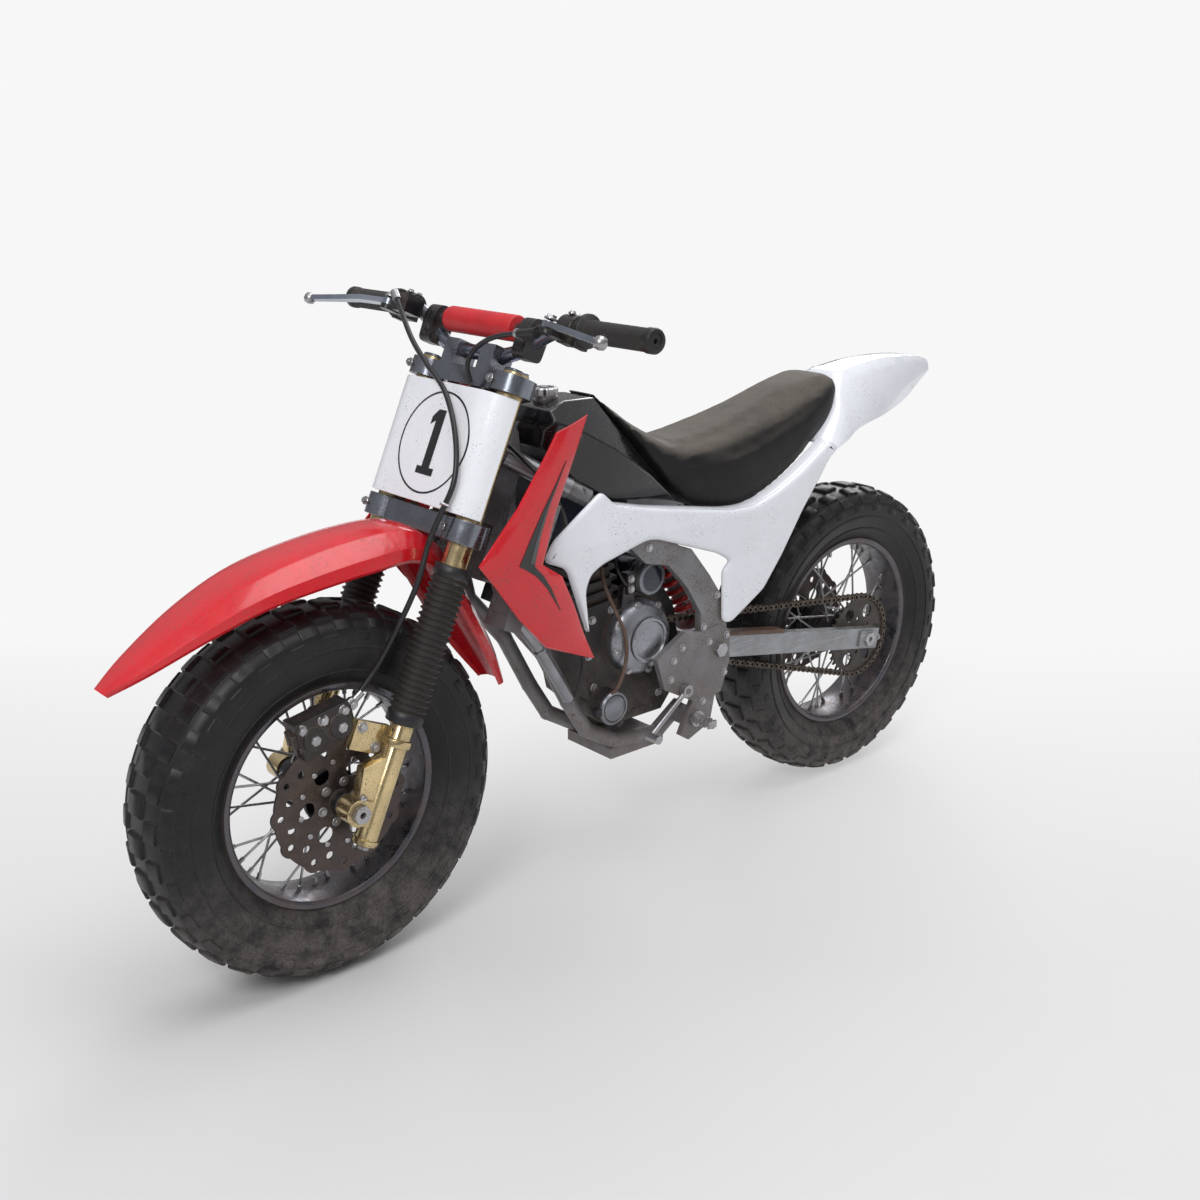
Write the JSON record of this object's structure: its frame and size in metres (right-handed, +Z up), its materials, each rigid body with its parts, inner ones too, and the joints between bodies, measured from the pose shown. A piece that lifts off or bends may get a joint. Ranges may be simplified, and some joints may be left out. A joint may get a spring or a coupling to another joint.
{
  "type": "radio-controlled motorcycle",
  "caption": "Radio-controlled motocross-style motorcycle with steered fork, sprung swingarm, chain drive, wire wheels and levers that move.",
  "frame": {"origin": "On the ground under the middle of the bounding box, midway from the front fender tip to the back of the rear tyre.", "axes": "+X points forward along the bike, +Y to the rider's left, +Z up."},
  "size_m": [0.5479, 0.233, 0.3067],
  "materials": {
    "painted_frame": "dusty grey paint",
    "body_white": "smooth gloss",
    "body_red": "smooth gloss",
    "tank_black": "high gloss",
    "seat_vinyl": "grained, dusty",
    "case_metal": "dark casting",
    "cover_steel": "satin, blue-grey",
    "radiator_metal": "dull",
    "motor_blue": "dark blue gloss",
    "battery_wrap": "matt film",
    "black_plastic": "satin",
    "white_nylon": "satin",
    "steel": "turned",
    "clamp_blue": "dark blue anodised",
    "gold": "gold anodised",
    "boot_rubber": "ribbed",
    "bar_steel": "blued",
    "pad_foam": "red cover",
    "grip_rubber": "ribbed",
    "cable_black": "smooth",
    "lever_blue": "blue anodised",
    "tyre_rubber": "dusty",
    "rim_metal": "worn anodised",
    "spoke_steel": "drawn wire",
    "hub_metal": "dull",
    "disc_steel": "brushed",
    "swingarm_metal": "brushed, scratched",
    "chain_steel": "oily, dusty",
    "sprocket_steel": "oily",
    "pinion_brass": "cut",
    "shock_metal": "machined",
    "spring_red": "gloss paint"
  },
  "bodies": {
    "frame": {"main_frame": "painted_frame", "radiators": "radiator_metal", "fuel_tank": "tank_black", "seat": "seat_vinyl", "left_side_panel": "body_white", "right_side_panel": "body_white", "tail_fairing": "body_white", "left_shroud": "body_red", "right_shroud": "body_red", "engine_case": "case_metal", "clutch_cover": "cover_steel", "gear_cover": "cover_steel", "drive_motor": "motor_blue", "battery": "battery_wrap", "electronics_box": "black_plastic", "steering_servo": "black_plastic", "pivot_bolt": "steel", "foot_pegs": "steel"},
    "servo_arm": {"servo_arm": "white_nylon"},
    "steering_link": {"steering_link": "steel"},
    "shift_lever": {"shift_lever": "steel"},
    "steering": {"upper_clamp": "clamp_blue", "lower_clamp": "clamp_blue", "fork_tubes": "gold", "number_plate": "body_white", "front_fender": "body_red", "handlebar": "bar_steel", "bar_pad": "pad_foam", "left_grip": "grip_rubber", "clutch_perch": "black_plastic", "brake_master": "black_plastic", "control_cables": "cable_black"},
    "brake_lever": {"brake_lever": "lever_blue"},
    "clutch_lever": {"clutch_lever": "lever_blue"},
    "throttle": {"throttle_grip": "grip_rubber"},
    "fork_lower": {"fork_legs": "gold", "fork_boots": "boot_rubber", "front_axle": "steel", "front_calliper": "case_metal"},
    "front_wheel": {"front_tyre": "tyre_rubber", "front_rim": "rim_metal", "front_spokes": "spoke_steel", "front_hub": "hub_metal", "front_disc": "disc_steel"},
    "swingarm": {"swingarm": "swingarm_metal", "rear_axle": "steel", "chain": "chain_steel", "rear_calliper": "case_metal"},
    "rear_wheel": {"rear_tyre": "tyre_rubber", "rear_rim": "rim_metal", "rear_spokes": "spoke_steel", "rear_hub": "hub_metal", "rear_disc": "disc_steel", "rear_sprocket": "sprocket_steel"},
    "countershaft": {"front_sprocket": "sprocket_steel", "spur_gear": "steel"},
    "motor_rotor": {"motor_pinion": "pinion_brass"},
    "shock_body": {"shock_body": "shock_metal", "shock_spring": "spring_red"},
    "shock_shaft": {"shock_shaft": "steel"}
  },
  "joints": [
    {"name": "steering", "type": "hinge", "parent": "frame", "child": "steering", "pos_m": [0.0928, 0, 0.2039], "axis": [-0.4099, 0, 0.9121], "range_deg": [-28, 28]},
    {"name": "fork_slide", "type": "slide", "parent": "steering", "child": "fork_lower", "axis": [-0.4099, 0, 0.9121], "range_m": [0, 0.01], "stiffness_N_per_m": 1500, "deforming": ["fork_boots", "control_cables"]},
    {"name": "front_wheel_spin", "type": "hinge", "parent": "fork_lower", "child": "front_wheel", "pos_m": [0.176, 0, 0.09], "axis": [0, 1, 0], "continuous": true},
    {"name": "swingarm_pivot", "type": "hinge", "parent": "frame", "child": "swingarm", "pos_m": [-0.052, 0, 0.115], "axis": [0, 1, 0], "range_deg": [-4, 8], "stiffness_Nm_per_rad": 6, "deforming": ["chain"]},
    {"name": "rear_wheel_spin", "type": "hinge", "parent": "swingarm", "child": "rear_wheel", "pos_m": [-0.184, 0, 0.09], "axis": [0, 1, 0], "continuous": true},
    {"name": "countershaft_spin", "type": "hinge", "parent": "frame", "child": "countershaft", "pos_m": [-0.006, 0, 0.129], "axis": [0, 1, 0], "continuous": true},
    {"name": "motor_spin", "type": "hinge", "parent": "frame", "child": "motor_rotor", "pos_m": [-0.01101, 0, 0.16061], "axis": [0, 1, 0], "continuous": true},
    {"name": "servo_turn", "type": "hinge", "parent": "frame", "child": "servo_arm", "pos_m": [0.05758, 0, 0.17492], "axis": [-0.4099, 0, 0.9121], "range_deg": [-30, 30]},
    {"name": "link_turn", "type": "hinge", "parent": "servo_arm", "child": "steering_link", "pos_m": [0.05758, -0.01, 0.17492], "axis": [-0.4099, 0, 0.9121], "range_deg": [-30, 30]},
    {"name": "clutch_pull", "type": "hinge", "parent": "steering", "child": "clutch_lever", "pos_m": [0.0858, 0.0625, 0.29998], "axis": [-0.4099, 0, 0.9121], "range_deg": [0, 18]},
    {"name": "brake_pull", "type": "hinge", "parent": "steering", "child": "brake_lever", "pos_m": [0.0858, -0.0625, 0.29998], "axis": [0.4099, 0, -0.9121], "range_deg": [0, 18]},
    {"name": "throttle_turn", "type": "hinge", "parent": "steering", "child": "throttle", "pos_m": [0.0721, -0.094, 0.29875], "axis": [0, -1, 0], "range_deg": [0, 70]},
    {"name": "shift_pedal", "type": "hinge", "parent": "frame", "child": "shift_lever", "pos_m": [-0.026, 0.038, 0.098], "axis": [0, 1, 0], "range_deg": [-10, 10]},
    {"name": "shock_swing", "type": "hinge", "parent": "frame", "child": "shock_body", "pos_m": [-0.034, 0, 0.176], "axis": [0, 1, 0], "range_deg": [-1, 2]},
    {"name": "shock_slide", "type": "slide", "parent": "shock_body", "child": "shock_shaft", "axis": [0.5105, 0, 0.8599], "range_m": [-0.0015, 0.003], "deforming": ["shock_spring"]}
  ],
  "couplings": [
    {"joint": "servo_turn", "follows": "steering", "ratio": 1},
    {"joint": "link_turn", "follows": "steering", "ratio": -1},
    {"joint": "countershaft_spin", "follows": "rear_wheel_spin", "ratio": 3},
    {"joint": "motor_spin", "follows": "rear_wheel_spin", "ratio": -9},
    {"joint": "shock_swing", "follows": "swingarm_pivot", "ratio": 0.16544},
    {"joint": "shock_slide", "follows": "swingarm_pivot", "m_per_rad": 0.016113}
  ]
}
